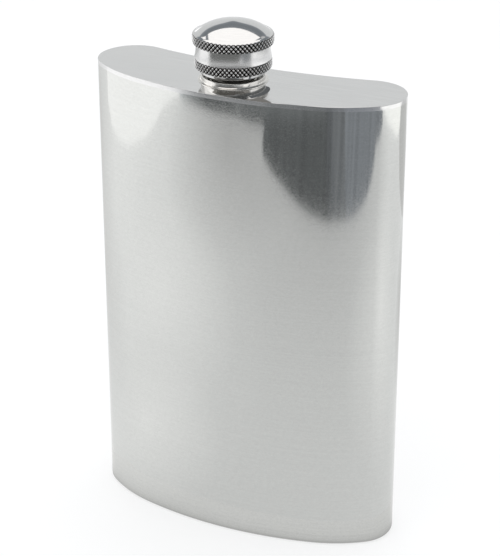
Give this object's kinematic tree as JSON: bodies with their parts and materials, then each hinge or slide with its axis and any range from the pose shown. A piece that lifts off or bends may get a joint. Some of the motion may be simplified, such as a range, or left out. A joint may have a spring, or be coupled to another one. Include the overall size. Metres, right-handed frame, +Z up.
{
  "type": "hip flask",
  "caption": "Kidney-shaped metal hip flask with a flat top plate, a short ribbed neck and a domed screw cap with knurled bands.",
  "frame": {"origin": "centre of the bottom of the box round the whole flask, on the surface it stands on", "axes": "+Z up along the flask's height, X across its width, the convex front facing -Y and the hollow back facing +Y"},
  "size_m": [0.088, 0.0302, 0.1484],
  "materials": {
    "body_metal": "satin, fine horizontal brush lines",
    "top_metal": "fine satin",
    "solder": "dull",
    "neck_metal": "bright turned",
    "cap_metal": "polished, with knurled bands",
    "insert_metal": "turned",
    "seal": "matt"
  },
  "bodies": {
    "flask": {"front_panel": "body_metal", "back_panel": "body_metal", "side_seam_left": "solder", "side_seam_right": "solder", "base_plate": "body_metal", "top_plate": "top_metal", "base_seam": "solder", "top_seam": "solder", "neck_collar": "neck_metal", "neck_bush": "neck_metal", "neck_solder": "solder"},
    "seal": {"cap_seal": "seal"},
    "cap": {"cap_shell": "cap_metal", "cap_insert": "insert_metal"}
  },
  "joints": [
    {"name": "cap_turn", "type": "hinge", "parent": "seal", "child": "cap", "pos_m": [0, -0.00448, 0.1405], "axis": [0, 0, 1], "range_deg": [0, 1440]},
    {"name": "cap_lift", "type": "slide", "parent": "flask", "child": "seal", "axis": [0, 0, 1], "range_m": [0, 0.0081]}
  ],
  "couplings": [
    {"joint": "cap_lift", "follows": "cap_turn", "m_per_rad": 0.00031831}
  ]
}
